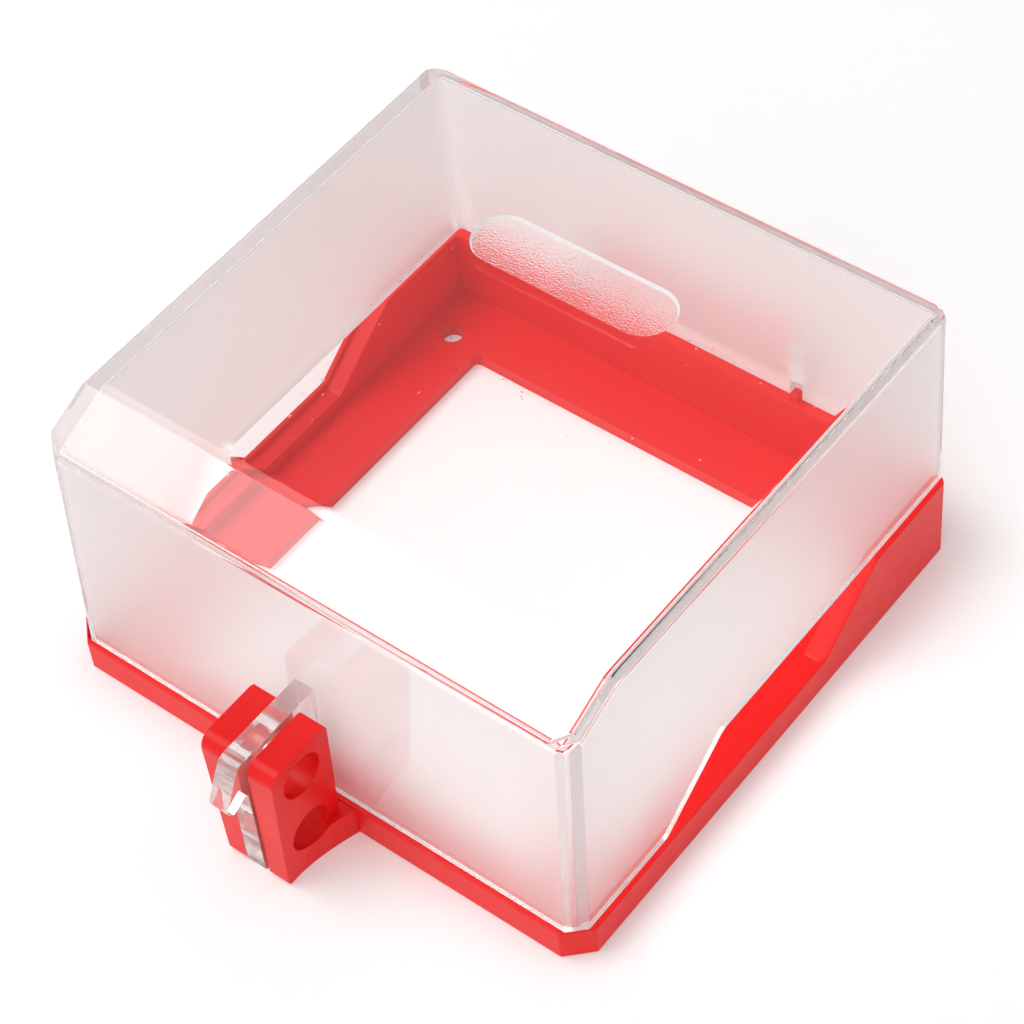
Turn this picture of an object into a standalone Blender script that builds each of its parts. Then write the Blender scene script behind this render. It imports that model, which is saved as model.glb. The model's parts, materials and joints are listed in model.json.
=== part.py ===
"""Lockable hinged guard for a wall-mounted call point: mounting frame, clear cover and hinge pin.

The back of the frame lies on z = 0, +X runs along the hinge, +Y points to the hinge and +Z out of the wall.
Lengths are metres.
"""
import math

import bmesh
import bpy
from mathutils import Matrix

MM = 0.001

# Mounting frame
FRAME_HALF_WIDTH = 59.0 * MM
FRAME_HALF_DEPTH = 58.0 * MM
FRAME_CORNER = 4.6 * MM
RIM_HEIGHT = 7.2 * MM
REAR_HEIGHT = 19.4 * MM
STEP_START_Y = 15.1 * MM
STEP_END_Y = 31.5 * MM
STEP_RADIUS = 1.5 * MM
FRAME_EDGE = 0.35 * MM
RIM_WIDTH = 1.0 * MM
SHELF_DEPTH = 1.2 * MM
SHELF_INSET = 4.6 * MM
FLOOR_HEIGHT = 2.8 * MM
WINDOW_HALF_WIDTH = 41.4 * MM
WINDOW_HALF_DEPTH = 41.0 * MM
WINDOW_RADIUS = 1.0 * MM
WELL_RADIUS = 1.0 * MM
SCREW_HOLE_RADIUS = 2.25 * MM
SCREW_HOLE_X = 48.6 * MM
SCREW_HOLE_Y = 42.6 * MM

# Clear cover
COVER_GAP = 0.3 * MM
COVER_WALL = 2.4 * MM
COVER_TOP_WALL = 3.0 * MM
COVER_HALF_WIDTH = FRAME_HALF_WIDTH - RIM_WIDTH - COVER_GAP
COVER_FRONT_Y = -FRAME_HALF_DEPTH + RIM_WIDTH + COVER_GAP
COVER_REAR_Y = FRAME_HALF_DEPTH - 0.1 * MM
COVER_BOTTOM = RIM_HEIGHT - SHELF_DEPTH + COVER_GAP
COVER_REAR_BOTTOM = REAR_HEIGHT - SHELF_DEPTH + COVER_GAP
COVER_HEIGHT = 62.6 * MM
COVER_CORNER = 3.0 * MM
COVER_EDGE = 0.7 * MM
CABLE_GAP_START_Y = -31.2 * MM
CABLE_GAP_END_Y = -13.9 * MM
CABLE_GAP_RADIUS = 3.0 * MM
SIDE_DRAFT = 0.4 * MM
FRONT_DRAFT = 2.7 * MM
REAR_DRAFT = 0.8 * MM
BEVEL_RUN = 12.0 * MM
BEVEL_DROP = 5.4 * MM
CAP_STEP = 0.8 * MM
CAP_INSET = 1.2 * MM
CAP_SETBACK = 0.15 * MM
CAP_EDGE = 0.35 * MM
TRIM = 0.02 * MM
REAR_TOP_RADIUS = 4.0 * MM
INNER_FILLET = 1.0 * MM
INNER_FOLD_RADIUS = 6.0 * MM

# Raised-edge recess on the cover's top
PAD_CENTRE_X = -1.6 * MM
PAD_CENTRE_Y = 25.7 * MM
PAD_HALF_STRAIGHT = 15.5 * MM
PAD_RADIUS = 6.5 * MM
PAD_DEPTH = 0.7 * MM
PAD_SLOPE = 0.8 * MM

# Hasp: two ears on the frame with the cover's tab between them
EAR_INNER_X = 2.5 * MM
EAR_FOOT_X = 6.9 * MM
EAR_TOP_X = 8.0 * MM
EAR_FRONT_Y = -73.8 * MM
EAR_REAR_Y = -59.2 * MM
EAR_HEIGHT = 32.4 * MM
EAR_TOP_RADIUS = 2.8 * MM
EAR_REAR_RADIUS = 1.2 * MM
EAR_TOE_RADIUS = 1.0 * MM
EAR_EDGE = 0.7 * MM
EAR_ROOT_Y = -FRAME_HALF_DEPTH + 0.8 * MM
EAR_ROOT_DROP = 1.0 * MM
FLARE_WIDTH = 2.8 * MM
FLARE_START = 3.0 * MM
FLARE_ROOT = 2.0 * MM
FLARE_OVERLAP = 0.05 * MM
FLARE_CURVE = 1.6
TAB_THICKNESS = 4.2 * MM
TAB_TOP = 33.4 * MM
TAB_FRONT_Y = -74.2 * MM
TAB_BEND_Y = -75.2 * MM
TAB_TIP_Y = -79.6 * MM
TAB_TIP_Z = 23.0 * MM
TAB_NOSE_RISE = 2.4 * MM
TAB_BOTTOM = 1.2 * MM
TAB_REAR_Y = -58.7 * MM
TAB_BEND_RADIUS = 2.6 * MM
TAB_TIP_RADIUS = 0.8 * MM
TAB_TIP_FACE = 2.0 * MM
TAB_TIP_UNDERSIDE = 1.4 * MM
TAB_CORNER = 0.6 * MM
TAB_EDGE = 0.25 * MM
TAB_ROOT_DEPTH = 1.6 * MM
TAB_RIM_GAP = 0.5 * MM
LOCK_HOLE_RADIUS = 4.6 * MM
LOCK_HOLE_Y = -66.6 * MM
LOCK_HOLE_HEIGHTS = (9.8 * MM, 25.8 * MM)

# Hinge
PIN_Y = 62.8 * MM
PIN_Z = 23.9 * MM
PIN_RADIUS = 1.5 * MM
PIN_BORE_RADIUS = 1.8 * MM
PIN_HALF_LENGTH = 26.9 * MM
KNUCKLE_RADIUS = 4.1 * MM
KNUCKLE_HALF_WIDTH = 22.5 * MM
KNUCKLE_SPLIT = 1.2 * MM
KNUCKLE_ROOT = 1.5 * MM
ARM_GAP = 0.35 * MM
ARM_THICKNESS = 3.5 * MM
ARM_TOP = 31.0 * MM
ARM_BOTTOM_RISE = 1.5 * MM
ARM_ROOT = 1.5 * MM
PIN_EDGE = 0.3 * MM
CORE_WALL = 2.4 * MM
CORE_SETBACK = 1.0 * MM
CORE_HEIGHT = 16.5 * MM

# Small triangular ribs that stand just inside the cover's rear wall
RIB_X = 26.2 * MM
RIB_WIDTH = 2.0 * MM
RIB_HEIGHT = 4.0 * MM
RIB_THICKNESS = 0.8 * MM
RIB_CLEARANCE = 0.6 * MM
RIB_SLOT_GAP = 0.4 * MM
RIB_SLOT_SKIN = 0.7 * MM

# Puts the origin under the middle of the whole part
ORIGIN_SHIFT_Y = 6.2 * MM

# How far cutters reach past what they cut, how far shapes that join run into each other, and a far distance
OVERRUN = 5.0 * MM
JOIN_OVERLAP = 0.4 * MM
FAR = 100.0 * MM

ARC_STEPS = 8
ARC_CHORD = 0.5 * MM
PARTS = "call_point_guard"
CUTTERS = "cutters"


def clear_scene():
    for item in list(bpy.data.objects):
        bpy.data.objects.remove(item, do_unlink=True)


def collection(name):
    group = bpy.data.collections.new(name)
    bpy.context.scene.collection.children.link(group)
    return group


def plastic(name, colour, roughness, metallic=0.0, alpha=1.0, transmission=0.0):
    material = bpy.data.materials.new(name)
    material.use_nodes = True
    shader = material.node_tree.nodes["Principled BSDF"]
    shader.inputs["Base Color"].default_value = (*colour, 1.0)
    shader.inputs["Roughness"].default_value = roughness
    shader.inputs["Metallic"].default_value = metallic
    shader.inputs["Alpha"].default_value = alpha
    shader.inputs["Transmission Weight"].default_value = transmission
    return material


def arc(centre, radius, start, end, steps=ARC_STEPS):
    """Points on an arc, from the start to the end angle in degrees."""
    points = []
    for index in range(steps + 1):
        angle = math.radians(start + (end - start) * index / steps)
        points.append((centre[0] + radius * math.cos(angle), centre[1] + radius * math.sin(angle)))
    return points


def rounded(corners):
    """An outline from (u, v, radius) corners, with an arc at each corner that has a radius."""
    points = []
    for index, (u, v, radius) in enumerate(corners):
        if radius == 0.0:
            points.append((u, v))
            continue
        before = corners[index - 1]
        after = corners[(index + 1) % len(corners)]
        to_before = math.atan2(before[1] - v, before[0] - u)
        to_after = math.atan2(after[1] - v, after[0] - u)
        half_turn = (to_after - to_before + math.pi) % (2 * math.pi) - math.pi
        middle = to_before + half_turn / 2
        reach = radius / abs(math.sin(half_turn / 2))
        centre = (u + reach * math.cos(middle), v + reach * math.sin(middle))
        side = -math.copysign(math.pi / 2, half_turn)
        start = math.degrees(to_before + side)
        sweep = -math.degrees(math.copysign(math.pi - abs(half_turn), half_turn))
        steps = max(2, min(ARC_STEPS, round(radius / ARC_CHORD)))
        points += arc(centre, radius, start, start + sweep, steps)
    return points


def solid_from_outline(name, outline, low, high, plane, group):
    """A closed prism of an outline drawn in the XY, YZ or XZ plane, between two positions across it."""
    curve = bpy.data.curves.new(name, "CURVE")
    curve.dimensions = "2D"
    curve.fill_mode = "BOTH"
    curve.extrude = (high - low) / 2
    spline = curve.splines.new("POLY")
    spline.points.add(len(outline) - 1)
    for point, (u, v) in zip(spline.points, outline):
        point.co = (u, v, 0.0, 1.0)
    spline.use_cyclic_u = True
    drawn = bpy.data.objects.new(name + "_outline", curve)
    bpy.context.scene.collection.objects.link(drawn)
    bpy.context.view_layer.update()
    mesh = bpy.data.meshes.new_from_object(drawn.evaluated_get(bpy.context.evaluated_depsgraph_get()))
    bpy.data.objects.remove(drawn)
    middle = (low + high) / 2
    if plane == "XY":
        place = Matrix.Translation((0.0, 0.0, middle))
    elif plane == "YZ":
        turn = Matrix(((0, 0, 1, 0), (1, 0, 0, 0), (0, 1, 0, 0), (0, 0, 0, 1)))
        place = Matrix.Translation((middle, 0.0, 0.0)) @ turn
    else:
        turn = Matrix(((1, 0, 0, 0), (0, 0, -1, 0), (0, 1, 0, 0), (0, 0, 0, 1)))
        place = Matrix.Translation((0.0, middle, 0.0)) @ turn
    mesh.transform(place)
    shape = bmesh.new()
    shape.from_mesh(mesh)
    for vertex in shape.verts:
        vertex.co = [round(value, 7) for value in vertex.co]
    bmesh.ops.remove_doubles(shape, verts=shape.verts, dist=1e-6)
    bmesh.ops.recalc_face_normals(shape, faces=shape.faces)
    shape.to_mesh(mesh)
    shape.free()
    item = bpy.data.objects.new(name, mesh)
    group.objects.link(item)
    if group.name == CUTTERS:
        item.hide_render = True
        item.display_type = "WIRE"
    return item


def cylinder_along_x(name, radius, low, high, y, z, group, sides=48):
    mesh = bpy.data.meshes.new(name)
    shape = bmesh.new()
    place = Matrix.Translation(((low + high) / 2, y, z)) @ Matrix.Rotation(math.pi / 2, 4, "Y")
    bmesh.ops.create_cone(shape, cap_ends=True, segments=sides, radius1=radius, radius2=radius,
                          depth=high - low, matrix=place)
    shape.to_mesh(mesh)
    shape.free()
    item = bpy.data.objects.new(name, mesh)
    group.objects.link(item)
    if group.name == CUTTERS:
        item.hide_render = True
        item.display_type = "WIRE"
    return item


def cut(item, cutter, operation="DIFFERENCE"):
    modifier = item.modifiers.new(operation.lower() + "_" + cutter.name, "BOOLEAN")
    modifier.operation = operation
    modifier.solver = "EXACT"
    modifier.object = cutter


def soften(item, width, segments, angle):
    modifier = item.modifiers.new("softened_edges", "BEVEL")
    modifier.width = width
    modifier.segments = segments
    modifier.limit_method = "ANGLE"
    modifier.angle_limit = math.radians(angle)
    modifier.use_clamp_overlap = True


def taper(item):
    """Draft on the cover's walls: they lean in between its bottom edge and the fold."""
    for vertex in item.data.vertices:
        lean = (vertex.co.z - COVER_BOTTOM) / (COVER_HEIGHT - BEVEL_DROP - COVER_BOTTOM)
        vertex.co.x -= math.copysign(SIDE_DRAFT * lean, vertex.co.x)
        vertex.co.y += FRONT_DRAFT * lean if vertex.co.y < 0 else -REAR_DRAFT * lean


def rear_wall_y(z):
    """Where the cover's drafted rear wall is at this height, just inside the draft so that it trims it."""
    return COVER_REAR_Y - REAR_DRAFT * (z - COVER_BOTTOM) / (COVER_HEIGHT - BEVEL_DROP - COVER_BOTTOM) - TRIM


def octagon(half_width, front, rear, corner):
    """A rectangle in XY with its four corners cut off."""
    return [
        (-half_width + corner, front), (half_width - corner, front),
        (half_width, front + corner), (half_width, rear - corner),
        (half_width - corner, rear), (-half_width + corner, rear),
        (-half_width, rear - corner), (-half_width, front + corner),
    ]


def rectangle(half_width, half_depth, radius):
    return rounded([
        (-half_width, -half_depth, radius), (half_width, -half_depth, radius),
        (half_width, half_depth, radius), (-half_width, half_depth, radius),
    ])


def stepped_side(low_z, front_z, rear_z, start_y, end_y, reach):
    """Side view of a box whose upper edge steps up towards the rear along a slant."""
    return rounded([
        (-reach, low_z, 0.0), (reach, low_z, 0.0), (reach, rear_z, 0.0),
        (end_y, rear_z, STEP_RADIUS), (start_y, front_z, STEP_RADIUS), (-reach, front_z, 0.0),
    ])


def make_frame(parts, cutters, material):
    """The moulded mounting frame with its hasp ears and hinge knuckles."""
    reach = FRAME_HALF_DEPTH + OVERRUN
    frame = solid_from_outline("base_frame", octagon(
        FRAME_HALF_WIDTH, -FRAME_HALF_DEPTH, FRAME_HALF_DEPTH, FRAME_CORNER),
        0.0, REAR_HEIGHT + OVERRUN, "XY", parts)
    side_view = solid_from_outline("frame_side_view", stepped_side(
        -OVERRUN, RIM_HEIGHT, REAR_HEIGHT, STEP_START_Y, STEP_END_Y, reach), -FAR, FAR, "YZ", cutters)
    cut(frame, side_view, "INTERSECT")
    soften(frame, FRAME_EDGE, 2, 30)

    seat_outline = rounded([
        (-reach, FAR, 0.0), (-reach, RIM_HEIGHT - SHELF_DEPTH, 0.0),
        (STEP_START_Y, RIM_HEIGHT - SHELF_DEPTH, STEP_RADIUS),
        (STEP_END_Y, REAR_HEIGHT - SHELF_DEPTH, STEP_RADIUS),
        (reach, REAR_HEIGHT - SHELF_DEPTH, 0.0), (reach, FAR, 0.0),
    ])
    inner_half = FRAME_HALF_WIDTH - RIM_WIDTH
    seat = solid_from_outline("seat_cut", seat_outline, -inner_half, inner_half, "YZ", cutters)
    seat_plan = solid_from_outline("seat_plan", octagon(
        inner_half, -FRAME_HALF_DEPTH + RIM_WIDTH, reach, COVER_CORNER), 0.0, FAR, "XY", cutters)
    cut(seat, seat_plan, "INTERSECT")
    cut(frame, seat)

    well = solid_from_outline("well_cut", rectangle(
        FRAME_HALF_WIDTH - SHELF_INSET, FRAME_HALF_DEPTH - SHELF_INSET, WELL_RADIUS),
        FLOOR_HEIGHT, FAR, "XY", cutters)
    cut(frame, well)
    window = solid_from_outline("window_cut", rectangle(WINDOW_HALF_WIDTH, WINDOW_HALF_DEPTH, WINDOW_RADIUS),
                                -FAR, FAR, "XY", cutters)
    cut(frame, window)
    for index, (side_x, side_y) in enumerate(((-1, -1), (1, -1), (1, 1), (-1, 1))):
        ring = [(side_x * SCREW_HOLE_X + u, side_y * SCREW_HOLE_Y + v)
                for u, v in arc((0.0, 0.0), SCREW_HOLE_RADIUS, 0, 352.5, 47)]
        cut(frame, solid_from_outline(f"screw_hole_{index}", ring, -OVERRUN, 2 * OVERRUN, "XY", cutters))

    for side in (-1, 1):
        cut(frame, make_ear(side, cutters), "UNION")
        cut(frame, make_flare(side, cutters), "UNION")
    for index, height in enumerate(LOCK_HOLE_HEIGHTS):
        cut(frame, cylinder_along_x(f"ear_hole_{index}", LOCK_HOLE_RADIUS, -EAR_TOP_X - OVERRUN,
                                    EAR_TOP_X + OVERRUN, LOCK_HOLE_Y, height, cutters))

    knuckle_front = PIN_Y - KNUCKLE_RADIUS
    knuckle_rear = PIN_Y + KNUCKLE_RADIUS
    knuckle_root = FRAME_HALF_DEPTH - KNUCKLE_ROOT
    knuckle_join = REAR_HEIGHT - SHELF_DEPTH - JOIN_OVERLAP
    for side in (-1, 1):
        low, high = sorted((side * KNUCKLE_SPLIT / 2, side * KNUCKLE_HALF_WIDTH))
        outline = [(knuckle_front, knuckle_join), (knuckle_root, knuckle_join),
                   (knuckle_root, 0.0), (knuckle_rear, 0.0)]
        outline += arc((PIN_Y, PIN_Z), KNUCKLE_RADIUS, 0, 180, 16)
        name = "left_knuckle" if side < 0 else "right_knuckle"
        cut(frame, solid_from_outline(name, outline, low, high, "YZ", cutters), "UNION")
        core_front = FRAME_HALF_DEPTH + CORE_SETBACK
        core_rear = knuckle_rear - CORE_WALL
        core = [(low + CORE_WALL, core_front), (high - CORE_WALL, core_front),
                (high - CORE_WALL, core_rear), (low + CORE_WALL, core_rear)]
        cut(frame, solid_from_outline(name + "_core", core, -OVERRUN, CORE_HEIGHT, "XY", cutters))
    for side in (-1, 1):
        cut(frame, make_rib(side, cutters), "UNION")
    bore_reach = KNUCKLE_HALF_WIDTH + OVERRUN
    cut(frame, cylinder_along_x("knuckle_bore", PIN_BORE_RADIUS, -bore_reach, bore_reach, PIN_Y, PIN_Z,
                                cutters, 32))
    frame.data.materials.append(material)


def make_ear(side, cutters):
    """One hasp ear: an upright plate in front of the frame, rounded at its upper front corner."""
    outline = rounded([
        (EAR_FRONT_Y, 0.0, EAR_TOE_RADIUS), (EAR_ROOT_Y, 0.0, 0.0),
        (EAR_ROOT_Y, RIM_HEIGHT - EAR_ROOT_DROP, 0.0), (EAR_REAR_Y, RIM_HEIGHT - EAR_ROOT_DROP, 0.0),
        (EAR_REAR_Y, EAR_HEIGHT, EAR_REAR_RADIUS), (EAR_FRONT_Y, EAR_HEIGHT, EAR_TOP_RADIUS),
    ])
    low, high = sorted((side * EAR_INNER_X, side * EAR_FOOT_X))
    ear = solid_from_outline("left_ear" if side < 0 else "right_ear", outline, low, high, "YZ", cutters)
    for vertex in ear.data.vertices:
        if abs(vertex.co.x) > (EAR_INNER_X + EAR_FOOT_X) / 2:
            vertex.co.x += side * (EAR_TOP_X - EAR_FOOT_X) * vertex.co.z / EAR_HEIGHT
    soften(ear, EAR_EDGE, 3, 50)
    return ear


def make_rib(side, cutters):
    """One of the small triangular ribs on the rear shelf, with its upright side towards +X."""
    base = REAR_HEIGHT - SHELF_DEPTH
    right = side * RIB_X
    left = right - RIB_WIDTH
    rear = COVER_REAR_Y - COVER_WALL - RIB_CLEARANCE
    outline = [(left, base - JOIN_OVERLAP), (right, base - JOIN_OVERLAP),
               (right, base + RIB_HEIGHT), (left, base)]
    name = "left_rib" if side < 0 else "right_rib"
    return solid_from_outline(name, outline, rear - RIB_THICKNESS, rear, "XZ", cutters)


def make_rib_slot(side, cutters):
    """The pocket in the cover's rear wall that lets the wall swing past a rib as the cover opens."""
    top = REAR_HEIGHT - SHELF_DEPTH + RIB_HEIGHT + RIB_SLOT_GAP
    right = side * RIB_X + RIB_SLOT_GAP
    left = side * RIB_X - RIB_WIDTH - RIB_SLOT_GAP
    outline = [(left, COVER_BOTTOM), (right, COVER_BOTTOM), (right, top), (left, top)]
    name = "left_rib_slot" if side < 0 else "right_rib_slot"
    front = COVER_REAR_Y - COVER_WALL - OVERRUN
    return solid_from_outline(name, outline, front, COVER_REAR_Y - RIB_SLOT_SKIN, "XZ", cutters)


def make_flare(side, cutters):
    """The curved web that spreads each ear's foot along the front of the frame."""
    outer = EAR_FOOT_X
    web_front = EAR_FRONT_Y + FLARE_START
    outline = [(side * (outer - FLARE_ROOT), web_front), (side * (outer - FLARE_OVERLAP), web_front)]
    for index in range(1, ARC_STEPS + 1):
        along = index / ARC_STEPS
        outline.append((side * (outer + FLARE_WIDTH * along ** FLARE_CURVE),
                        web_front + (-FRAME_HALF_DEPTH - web_front) * along))
    outline += [(side * (outer + FLARE_WIDTH), EAR_ROOT_Y), (side * (outer - FLARE_ROOT), EAR_ROOT_Y)]
    name = "left_flare" if side < 0 else "right_flare"
    return solid_from_outline(name, outline, 0.0, RIM_HEIGHT - JOIN_OVERLAP, "XY", cutters)


def make_envelope(name, setback, half_width, top_z, group):
    """The cover's outer shape: a drafted outline with a slanting front, a flat top and a rounded rear."""
    envelope = solid_from_outline(name, octagon(half_width, COVER_FRONT_Y + setback,
                                                COVER_REAR_Y - setback, COVER_CORNER),
                                  COVER_BOTTOM - OVERRUN, COVER_HEIGHT + OVERRUN, "XY", group)
    taper(envelope)
    front_y = COVER_FRONT_Y + FRONT_DRAFT
    low_z = COVER_BOTTOM - 2 * OVERRUN
    side_view = solid_from_outline(name + "_side", rounded([
        (front_y - OVERRUN, low_z, 0.0), (rear_wall_y(low_z) - setback, low_z, 0.0),
        (rear_wall_y(top_z) - setback, top_z, REAR_TOP_RADIUS), (front_y + BEVEL_RUN, top_z, 0.0),
        (front_y - OVERRUN, top_z - BEVEL_DROP * (BEVEL_RUN + OVERRUN) / BEVEL_RUN, 0.0),
    ]), -FAR, FAR, "YZ", bpy.data.collections[CUTTERS])
    cut(envelope, side_view, "INTERSECT")
    return envelope


def make_cover(parts, cutters, material):
    """The clear hinged cover with its hasp tab and hinge arms."""
    cover = make_envelope("cover", 0.0, COVER_HALF_WIDTH, COVER_HEIGHT - CAP_STEP, parts)
    soften(cover, COVER_EDGE, 3, 40)

    cap = make_envelope("cap", CAP_SETBACK, COVER_HALF_WIDTH - CAP_INSET, COVER_HEIGHT, cutters)
    soften(cap, CAP_EDGE, 2, 20)
    cut(cover, cap, "UNION")

    half = COVER_HALF_WIDTH - COVER_WALL
    front = COVER_FRONT_Y + COVER_WALL
    rear = COVER_REAR_Y - COVER_WALL
    cavity = solid_from_outline("cavity", [(-half, front), (half, front), (half, rear), (-half, rear)],
                                COVER_BOTTOM - 8 * OVERRUN, COVER_HEIGHT + OVERRUN, "XY", cutters)
    taper(cavity)
    inner_front = front + FRONT_DRAFT
    inner_top = COVER_HEIGHT - COVER_TOP_WALL
    inner_side = solid_from_outline("cavity_side", rounded([
        (inner_front - 2 * OVERRUN, COVER_BOTTOM - 4 * OVERRUN, 0.0), (FAR, COVER_BOTTOM - 4 * OVERRUN, 0.0),
        (FAR, inner_top, 0.0), (inner_front + BEVEL_RUN, inner_top, INNER_FOLD_RADIUS),
        (inner_front - 2 * OVERRUN, inner_top - BEVEL_DROP * (BEVEL_RUN + 2 * OVERRUN) / BEVEL_RUN, 0.0),
    ]), -FAR, FAR, "YZ", cutters)
    cut(cavity, inner_side, "INTERSECT")
    soften(cavity, INNER_FILLET, 3, 40)
    cut(cover, cavity)

    underside = solid_from_outline("underside_cut", rounded([
        (-FAR, -FAR, 0.0), (FAR, -FAR, 0.0), (FAR, COVER_REAR_BOTTOM, 0.0),
        (CABLE_GAP_END_Y, COVER_REAR_BOTTOM, CABLE_GAP_RADIUS),
        (CABLE_GAP_START_Y, COVER_BOTTOM, CABLE_GAP_RADIUS), (-FAR, COVER_BOTTOM, 0.0),
    ]), -FAR, FAR, "YZ", cutters)
    cut(cover, underside)

    recess = stadium("pad_cut", PAD_RADIUS, COVER_HEIGHT - PAD_DEPTH, COVER_HEIGHT + PAD_DEPTH, cutters)
    for vertex in recess.data.vertices:
        if vertex.co.z < COVER_HEIGHT:
            shrink_towards_pad(vertex, PAD_SLOPE)
    cut(cover, recess)

    cut(cover, make_tab(cutters), "UNION")
    for index, height in enumerate(LOCK_HOLE_HEIGHTS):
        cut(cover, cylinder_along_x(f"tab_hole_{index}", LOCK_HOLE_RADIUS, -2 * TAB_THICKNESS,
                                    2 * TAB_THICKNESS, LOCK_HOLE_Y, height, cutters))
    for side in (-1, 1):
        cut(cover, make_arm(side, cutters), "UNION")
    for side in (-1, 1):
        cut(cover, make_rib_slot(side, cutters))
    bore_reach = KNUCKLE_HALF_WIDTH + 2 * OVERRUN
    cut(cover, cylinder_along_x("arm_bore", PIN_BORE_RADIUS, -bore_reach, bore_reach, PIN_Y, PIN_Z,
                                cutters, 32))
    cover.data.materials.append(material)
    return cover


def stadium(name, radius, low, high, group):
    centre_left = (PAD_CENTRE_X - PAD_HALF_STRAIGHT, PAD_CENTRE_Y)
    centre_right = (PAD_CENTRE_X + PAD_HALF_STRAIGHT, PAD_CENTRE_Y)
    outline = arc(centre_left, radius, 90, 270, 20) + arc(centre_right, radius, -90, 90, 20)
    return solid_from_outline(name, outline, low, high, "XY", group)


def shrink_towards_pad(vertex, amount):
    """Move a point on the pad's outline in towards the pad's centre line."""
    nearest_x = min(max(vertex.co.x, PAD_CENTRE_X - PAD_HALF_STRAIGHT), PAD_CENTRE_X + PAD_HALF_STRAIGHT)
    away_x = vertex.co.x - nearest_x
    away_y = vertex.co.y - PAD_CENTRE_Y
    distance = math.hypot(away_x, away_y)
    scale = (distance - amount) / distance
    vertex.co.x = nearest_x + away_x * scale
    vertex.co.y = PAD_CENTRE_Y + away_y * scale


def make_tab(cutters):
    """The hasp tab: a plate from the cover's front wall, with a hooked nose to lift it by."""
    wall_y = COVER_FRONT_Y + TAB_ROOT_DEPTH
    drafted_wall_y = wall_y + FRONT_DRAFT / 2
    outline = rounded([
        (drafted_wall_y, TAB_TOP, 0.0), (TAB_BEND_Y, TAB_TOP, TAB_BEND_RADIUS),
        (TAB_TIP_Y, TAB_TIP_Z + TAB_TIP_FACE, TAB_TIP_RADIUS),
        (TAB_TIP_Y + TAB_TIP_UNDERSIDE, TAB_TIP_Z, TAB_CORNER),
        (TAB_FRONT_Y, TAB_TIP_Z + TAB_NOSE_RISE, TAB_CORNER),
        (TAB_FRONT_Y, TAB_BOTTOM, TAB_CORNER), (TAB_REAR_Y, TAB_BOTTOM, TAB_CORNER),
        (TAB_REAR_Y, RIM_HEIGHT + TAB_RIM_GAP, 0.0), (wall_y, RIM_HEIGHT + TAB_RIM_GAP, 0.0),
    ])
    tab = solid_from_outline("tab", outline, -TAB_THICKNESS / 2, TAB_THICKNESS / 2, "YZ", cutters)
    soften(tab, TAB_EDGE, 2, 50)
    return tab


def make_arm(side, cutters):
    """One hinge arm behind the cover's rear wall."""
    inner = KNUCKLE_HALF_WIDTH + ARM_GAP
    low, high = sorted((side * inner, side * (inner + ARM_THICKNESS)))
    wall_y = COVER_REAR_Y - ARM_ROOT
    outline = [(wall_y, COVER_REAR_BOTTOM + ARM_BOTTOM_RISE)]
    outline += arc((PIN_Y, PIN_Z), KNUCKLE_RADIUS, -90, 60, 16)
    outline += [(wall_y, ARM_TOP)]
    name = "left_arm" if side < 0 else "right_arm"
    return solid_from_outline(name, outline, low, high, "YZ", cutters)


def make_pin(parts, material):
    """The steel pin that joins the cover's arms to the frame's knuckles."""
    pin = cylinder_along_x("hinge_pin", PIN_RADIUS, -PIN_HALF_LENGTH, PIN_HALF_LENGTH, PIN_Y, PIN_Z,
                           parts, 32)
    soften(pin, PIN_EDGE, 2, 60)
    pin.data.materials.append(material)


def main():
    clear_scene()
    parts = collection(PARTS)
    cutters = collection(CUTTERS)
    red = plastic("red_abs", (0.75, 0.02, 0.015), 0.32)
    clear = plastic("clear_polycarbonate", (0.95, 0.93, 0.92), 0.08, alpha=0.35, transmission=0.9)
    steel = plastic("stainless_steel", (0.6, 0.6, 0.6), 0.25, metallic=1.0)
    make_frame(parts, cutters, red)
    cover = make_cover(parts, cutters, clear)
    make_pin(parts, steel)
    for item in list(parts.objects) + list(cutters.objects):
        item.location.y = ORIGIN_SHIFT_Y
    hinge = bpy.data.objects.new("hinge_axis", None)
    hinge.location = (0.0, PIN_Y + ORIGIN_SHIFT_Y, PIN_Z)
    parts.objects.link(hinge)
    cover.parent = hinge
    cover.matrix_parent_inverse = Matrix.Translation(-hinge.location)


main()
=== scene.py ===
import json
import math

import bmesh
import bpy
from mathutils import Matrix, Vector


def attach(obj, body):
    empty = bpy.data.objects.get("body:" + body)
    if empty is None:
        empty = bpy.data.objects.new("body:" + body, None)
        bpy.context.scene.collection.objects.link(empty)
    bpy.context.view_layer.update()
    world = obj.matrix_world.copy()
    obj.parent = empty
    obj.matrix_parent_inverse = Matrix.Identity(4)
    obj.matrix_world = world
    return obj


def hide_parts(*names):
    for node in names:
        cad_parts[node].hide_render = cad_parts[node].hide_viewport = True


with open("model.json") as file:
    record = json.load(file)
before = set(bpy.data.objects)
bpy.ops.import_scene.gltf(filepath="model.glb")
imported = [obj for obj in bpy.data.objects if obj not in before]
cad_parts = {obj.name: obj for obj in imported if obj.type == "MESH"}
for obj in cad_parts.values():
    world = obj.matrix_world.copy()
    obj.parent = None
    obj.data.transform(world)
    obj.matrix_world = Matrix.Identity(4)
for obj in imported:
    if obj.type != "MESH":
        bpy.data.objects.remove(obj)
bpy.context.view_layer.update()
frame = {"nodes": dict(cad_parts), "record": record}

MM = 0.001

# Camera: the point that it looks at, its way from there in degrees, its roll in radians, and its lens
AIM = Vector((1.292, 6.143, 25.0)) * MM
CAMERA_DISTANCE = 563.398 * MM
CAMERA_AZIMUTH = 42.663
CAMERA_ELEVATION = 50.061
CAMERA_ROLL = 0.112
CAMERA_LENS = 109.9
CAMERA_SENSOR = 36.0

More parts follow.
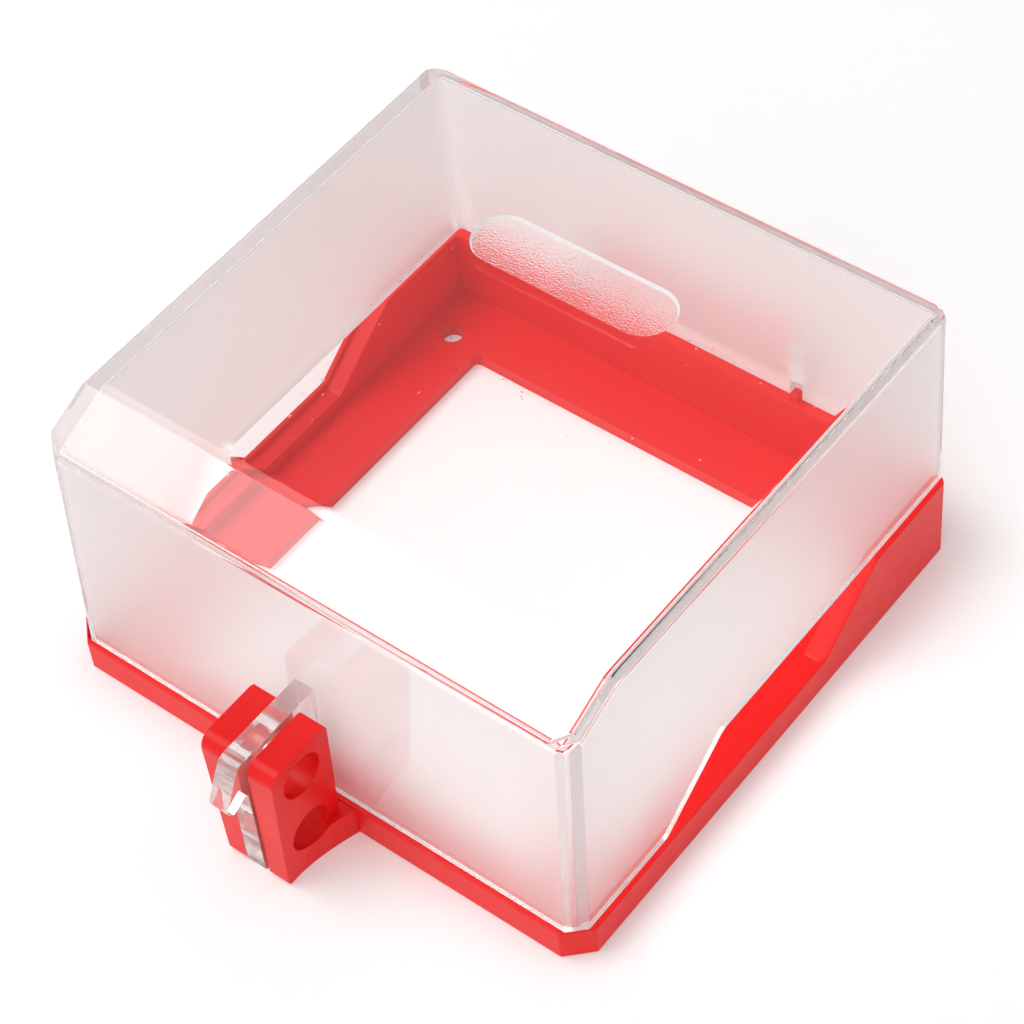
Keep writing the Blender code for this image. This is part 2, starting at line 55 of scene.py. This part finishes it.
# Edges and facets of the mouldings
WELD = 0.002 * MM
FLAT_ANGLE = math.radians(0.6)
SMOOTH_ANGLE = math.radians(32)
RED_EDGE = 0.3 * MM
CLEAR_EDGE = 0.18 * MM
EDGE_SEGMENTS = 2
FLAT_FACE_WEIGHT = 90

# Noise patterns of the red plastic and the steel, as cells per metre and octaves
RED_CLOUDS = (60.0, 3.0)
RED_SHEEN = (300.0, 3.0)
RED_GRAIN = (3000.0, 1.0)
DUST_SPECKS = (1400.0, 1.0)
STEEL_GRAIN = (2500.0, 2.0)
NOISE_MIDDLE = (0.3, 0.7)

# Red plastic: the two ends of its uneven colour and of its gloss, and its dust
RED_DARK = (0.78, 0.006, 0.006)
RED_LIGHT = (0.82, 0.008, 0.007)
RED_ROUGHNESS = (0.30, 0.38)
RED_SPECULAR = 0.25
RED_GRAIN_DEPTH = 0.002 * MM
DUST = (0.9, 0.45, 0.4)
DUST_RANGE = (0.80, 0.84)
DUST_COVER = 0.5

STEEL = (0.62, 0.61, 0.60)
STEEL_ROUGHNESS = (0.18, 0.32)
PLASTIC_IOR = 1.5

# Finishes of the cover, in the order of its material slots. Each row has a name, a colour, the
# share of light that passes, the roughness, and the cells per metre, octaves and depth of its bump.
COVER_FINISHES = (
    ("polished_polycarbonate", (0.925, 0.905, 0.90), 1.0, 0.0, 700.0, 1.0, 0.01 * MM),
    ("satin_polycarbonate", (0.885, 0.87, 0.865), 1.0, 0.06, 500.0, 1.0, 0.004 * MM),
    ("frosted_polycarbonate", (1.0, 0.985, 0.98), 0.56, 0.6, 900.0, 2.0, 0.01 * MM),
    ("milky_polycarbonate", (0.98, 0.96, 0.95), 0.93, 0.1, 400.0, 2.0, 0.01 * MM),
    ("grained_polycarbonate", (1.0, 0.99, 0.985), 0.86, 0.06, 2600.0, 1.0, 0.07 * MM),
    # The ring round the recess is half opaque and whiter than the rest of the cover, a painted
    # highlight for the bright lines of light on its slope
    ("ring_painted_highlight", (1.0, 0.995, 0.99), 0.5, 0.2, 500.0, 1.0, 0.01 * MM),
)
POLISHED, SATIN, FROSTED, MILKY, GRAINED, RING = range(len(COVER_FINISHES))
SCRATCH_RANGE = (0.76, 0.80)

# How the cover's faces are told apart: walls by how little they face up, the tab by its distance in
# front of the shell, and the recess by its depth below the top and its distance from the middle
WALL_SLOPE = 0.5
SHELL_MARGIN = 8.0 * MM
LEVEL = 0.99
RECESS_DEPTH = (0.3 * MM, 1.5 * MM)
RECESS_REACH = 20 * MM

# Studio: the sky's strength round the horizon and overhead, with the heights between which it
# changes, and the floor
SKY_HORIZON = 0.79
SKY_ZENITH = 0.48
SKY_FADE = (math.sin(math.radians(33)), math.sin(math.radians(44)))
FLOOR_HALF_WIDTH = 4.0
FLOOR_DROP = 0.05 * MM
FLOOR_WHITE = 0.88
FLOOR_ROUGHNESS = 0.8
FLOOR_SPECULAR = 0.1
FLOOR_GLOW = 0.15
WHITE = (1.0, 1.0, 1.0)
LIGHT_BOUNCES = 28

# Each lamp's name, azimuth and elevation in degrees, distance and size in metres, and watts
LAMPS = (
    ("overhead_box", -59, 60, 1.5, 0.95, 9.0),
    ("front_box", 5, 38, 1.7, 1.1, 4.0),
)


def nodes_of(material):
    """The node tree of a material and the shader in it."""
    material.use_nodes = True
    tree = material.node_tree
    return tree, tree.nodes["Principled BSDF"]


def noise(tree, scale, detail):
    """A noise texture in the part's own metres, so its scale is in cells per metre."""
    place = tree.nodes.new("ShaderNodeTexCoord")
    texture = tree.nodes.new("ShaderNodeTexNoise")
    texture.inputs["Scale"].default_value = scale
    texture.inputs["Detail"].default_value = detail
    tree.links.new(place.outputs["Object"], texture.inputs["Vector"])
    return texture.outputs["Fac"]


def ramp(tree, value, source, target):
    """Maps a value from one pair of limits onto another."""
    node = tree.nodes.new("ShaderNodeMapRange")
    node.inputs["From Min"].default_value, node.inputs["From Max"].default_value = source
    node.inputs["To Min"].default_value, node.inputs["To Max"].default_value = target
    tree.links.new(value, node.inputs["Value"])
    return node.outputs["Result"]


def blend(tree, factor, first, second):
    """A colour between two others, of which the first may come from another node."""
    node = tree.nodes.new("ShaderNodeMix")
    node.data_type = "RGBA"
    if isinstance(first, tuple):
        node.inputs["A"].default_value = (*first, 1.0)
    else:
        tree.links.new(first, node.inputs["A"])
    node.inputs["B"].default_value = (*second, 1.0)
    tree.links.new(factor, node.inputs["Factor"])
    return node.outputs["Result"]


def bump(tree, height, distance, shader):
    """Roughens a surface by a height map, at most this deep."""
    node = tree.nodes.new("ShaderNodeBump")
    node.inputs["Distance"].default_value = distance
    tree.links.new(height, node.inputs["Height"])
    tree.links.new(node.outputs["Normal"], shader.inputs["Normal"])


def red_abs():
    """Moulded red ABS: slightly uneven colour and gloss, with a few pale specks of dust."""
    material = bpy.data.materials.new("red_abs")
    tree, shader = nodes_of(material)
    plain = blend(tree, noise(tree, *RED_CLOUDS), RED_DARK, RED_LIGHT)
    specks = ramp(tree, noise(tree, *DUST_SPECKS), DUST_RANGE, (0.0, DUST_COVER))
    tree.links.new(blend(tree, specks, plain, DUST), shader.inputs["Base Color"])
    gloss = ramp(tree, noise(tree, *RED_SHEEN), NOISE_MIDDLE, RED_ROUGHNESS)
    tree.links.new(gloss, shader.inputs["Roughness"])
    shader.inputs["IOR"].default_value = PLASTIC_IOR
    shader.inputs["Specular IOR Level"].default_value = RED_SPECULAR
    bump(tree, noise(tree, *RED_GRAIN), RED_GRAIN_DEPTH, shader)
    return material


def drawn_steel():
    """Drawn stainless steel with an uneven sheen."""
    material = bpy.data.materials.new("drawn_steel")
    tree, shader = nodes_of(material)
    shader.inputs["Base Color"].default_value = (*STEEL, 1.0)
    shader.inputs["Metallic"].default_value = 1.0
    sheen = ramp(tree, noise(tree, *STEEL_GRAIN), NOISE_MIDDLE, STEEL_ROUGHNESS)
    tree.links.new(sheen, shader.inputs["Roughness"])
    return material


def cover_finish(slot):
    """The material of one of the cover's slots. The polished one is bumped by scratches only."""
    name, colour, transmission, roughness, scale, detail, depth = COVER_FINISHES[slot]
    material = bpy.data.materials.new(name)
    tree, shader = nodes_of(material)
    shader.inputs["Base Color"].default_value = (*colour, 1.0)
    shader.inputs["Transmission Weight"].default_value = transmission
    shader.inputs["Roughness"].default_value = roughness
    shader.inputs["IOR"].default_value = PLASTIC_IOR
    height = noise(tree, scale, detail)
    if slot == POLISHED:
        height = ramp(tree, height, SCRATCH_RANGE, (0.0, 1.0))
    bump(tree, height, depth, shader)
    return material


def finer_copy(node, name, edge, body):
    """A copy of a CAD node with whole flat faces, fine rounded edges and smooth shading."""
    piece = bpy.data.objects.new(name, frame["nodes"][node].data.copy())
    bpy.context.scene.collection.objects.link(piece)
    shape = bmesh.new()
    shape.from_mesh(piece.data)
    bmesh.ops.remove_doubles(shape, verts=shape.verts, dist=WELD)
    bmesh.ops.dissolve_limit(shape, angle_limit=FLAT_ANGLE, verts=shape.verts, edges=shape.edges)
    for face in shape.faces:
        face.smooth = True
        face.material_index = 0
    shape.to_mesh(piece.data)
    shape.free()
    piece.data.materials.clear()
    rounding = piece.modifiers.new("rounded_edges", "BEVEL")
    rounding.width = edge
    rounding.segments = EDGE_SEGMENTS
    rounding.limit_method = "ANGLE"
    rounding.angle_limit = SMOOTH_ANGLE
    weights = piece.modifiers.new("flat_faces_stay_flat", "WEIGHTED_NORMAL")
    weights.weight = FLAT_FACE_WEIGHT
    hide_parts(node)
    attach(piece, body)
    return piece


def opening(name):
    """Lowest and highest corner of an opening that the record states."""
    for item in frame["record"]["physics"]["openings"]:
        if item["name"] == name:
            return Vector(item["box_m"][0]), Vector(item["box_m"][1])
    raise KeyError(name)


def faces_in(shape, low, high, margin):
    """Faces whose middle is inside a box that is grown by a margin."""
    found = []
    for face in shape.faces:
        middle = face.calc_center_median()
        if all(low[axis] - margin < middle[axis] < high[axis] + margin for axis in range(3)):
            found.append(face)
    return found


def finish_cover(piece):
    """Gives the cover's faces their finishes. Those that it passes over stay polished."""
    low, high = opening("cover_interior")
    middle = (low + high) / 2
    shape = bmesh.new()
    shape.from_mesh(piece.data)
    for face in faces_in(shape, low, high, SHELL_MARGIN):
        inwards = face.normal.dot(middle - face.calc_center_median()) > 0.0
        if abs(face.normal.z) < WALL_SLOPE:
            face.material_index = FROSTED if inwards else SATIN
    for face in shape.faces:
        if face.calc_center_median().y < low.y - SHELL_MARGIN:
            face.material_index = MILKY
    finish_recess(shape)
    shape.to_mesh(piece.data)
    shape.free()


def is_recess_floor(face, top):
    """Whether a face is the level floor of the recess, a little below the cover's top."""
    middle = face.calc_center_median()
    shallow, deep = RECESS_DEPTH
    return (face.normal.z > LEVEL and shallow < top - middle.z < deep
            and abs(middle.x) < RECESS_REACH and middle.y > 0.0)


def finish_recess(shape):
    """Grains the floor of the recess in the cover's top and paints a highlight on the slope round it.
    """
    top = max(corner.co.z for corner in shape.verts)
    for floor in [face for face in shape.faces if is_recess_floor(face, top)]:
        floor.material_index = GRAINED
        for edge in floor.edges:
            for face in edge.link_faces:
                if face is not floor:
                    # The slope round the recess gets the whiter, half opaque finish of a painted
                    # highlight
                    face.material_index = RING


def make_mouldings():
    """The red frame and the clear cover in place of their CAD nodes, and the steel of the pin."""
    red = finer_copy("base_frame", "mounting_frame", RED_EDGE, "frame")
    red.data.materials.append(red_abs())
    cover = finer_copy("cover", "clear_cover", CLEAR_EDGE, "lid")
    for slot in range(len(COVER_FINISHES)):
        cover.data.materials.append(cover_finish(slot))
    finish_cover(cover)
    # The cover is clear and pale, so the light reaches the frame through it as in the open
    cover.visible_shadow = False
    pin = frame["nodes"]["hinge_pin"]
    pin.data.materials.clear()
    pin.data.materials.append(drawn_steel())


def direction(azimuth, elevation):
    """The way from the part to a camera or lamp, in degrees. Azimuth 0 is in front of it."""
    azimuth = math.radians(azimuth)
    elevation = math.radians(elevation)
    return Vector((math.sin(azimuth) * math.cos(elevation),
                   -math.cos(azimuth) * math.cos(elevation),
                   math.sin(elevation)))


def make_camera():
    """The camera at the photograph's angle, rolled a little about its line of sight."""
    back = direction(CAMERA_AZIMUTH, CAMERA_ELEVATION)
    level = direction(CAMERA_AZIMUTH + 90.0, 0.0)
    upright = back.cross(level)
    right = math.cos(CAMERA_ROLL) * level - math.sin(CAMERA_ROLL) * upright
    up = math.sin(CAMERA_ROLL) * level + math.cos(CAMERA_ROLL) * upright
    camera = bpy.data.objects.new("camera", bpy.data.cameras.new("camera"))
    camera.data.lens = CAMERA_LENS
    camera.data.sensor_width = CAMERA_SENSOR
    turn = Matrix((right, up, back)).transposed().to_4x4()
    camera.matrix_world = Matrix.Translation(AIM + back * CAMERA_DISTANCE) @ turn
    bpy.context.scene.collection.objects.link(camera)
    bpy.context.scene.camera = camera


def make_lamp(name, azimuth, elevation, distance, size, power):
    """A soft square lamp that faces the part."""
    away = direction(azimuth, elevation)
    lamp = bpy.data.lights.new(name, "AREA")
    lamp.shape = "SQUARE"
    lamp.size = size
    lamp.energy = power
    item = bpy.data.objects.new(name, lamp)
    item.location = away * distance
    item.rotation_mode = "QUATERNION"
    item.rotation_quaternion = away.to_track_quat("Z", "Y")
    bpy.context.scene.collection.objects.link(item)


def make_floor():
    """A white acrylic table that is lit a little from below."""
    mesh = bpy.data.meshes.new("floor")
    shape = bmesh.new()
    bmesh.ops.create_grid(shape, x_segments=1, y_segments=1, size=FLOOR_HALF_WIDTH)
    shape.to_mesh(mesh)
    shape.free()
    floor = bpy.data.objects.new("floor", mesh)
    floor.location.z = -FLOOR_DROP
    bpy.context.scene.collection.objects.link(floor)
    white = bpy.data.materials.new("white_floor")
    shader = nodes_of(white)[1]
    shader.inputs["Base Color"].default_value = (FLOOR_WHITE, FLOOR_WHITE, FLOOR_WHITE, 1.0)
    shader.inputs["Roughness"].default_value = FLOOR_ROUGHNESS
    shader.inputs["Specular IOR Level"].default_value = FLOOR_SPECULAR
    shader.inputs["Emission Color"].default_value = (*WHITE, 1.0)
    shader.inputs["Emission Strength"].default_value = FLOOR_GLOW
    floor.data.materials.append(white)


def make_sky():
    """White light from all round, dimmer overhead so that the cover's top stays clear."""
    world = bpy.data.worlds.new("studio")
    bpy.context.scene.world = world
    world.use_nodes = True
    tree = world.node_tree
    background = tree.nodes["Background"]
    place = tree.nodes.new("ShaderNodeTexCoord")
    parts = tree.nodes.new("ShaderNodeSeparateXYZ")
    tree.links.new(place.outputs["Generated"], parts.inputs["Vector"])
    strength = ramp(tree, parts.outputs["Z"], SKY_FADE, (SKY_HORIZON, SKY_ZENITH))
    tree.links.new(strength, background.inputs["Strength"])
    background.inputs["Color"].default_value = (*WHITE, 1.0)


def make_studio():
    """Floor, sky and lamps, and enough bounces for light to get out of the clear cover."""
    make_floor()
    make_sky()
    for lamp in LAMPS:
        make_lamp(*lamp)
    scene = bpy.context.scene
    scene.cycles.max_bounces = LIGHT_BOUNCES
    scene.cycles.transmission_bounces = LIGHT_BOUNCES
    scene.cycles.glossy_bounces = LIGHT_BOUNCES
    scene.view_settings.view_transform = "Standard"


make_mouldings()
make_camera()
make_studio()
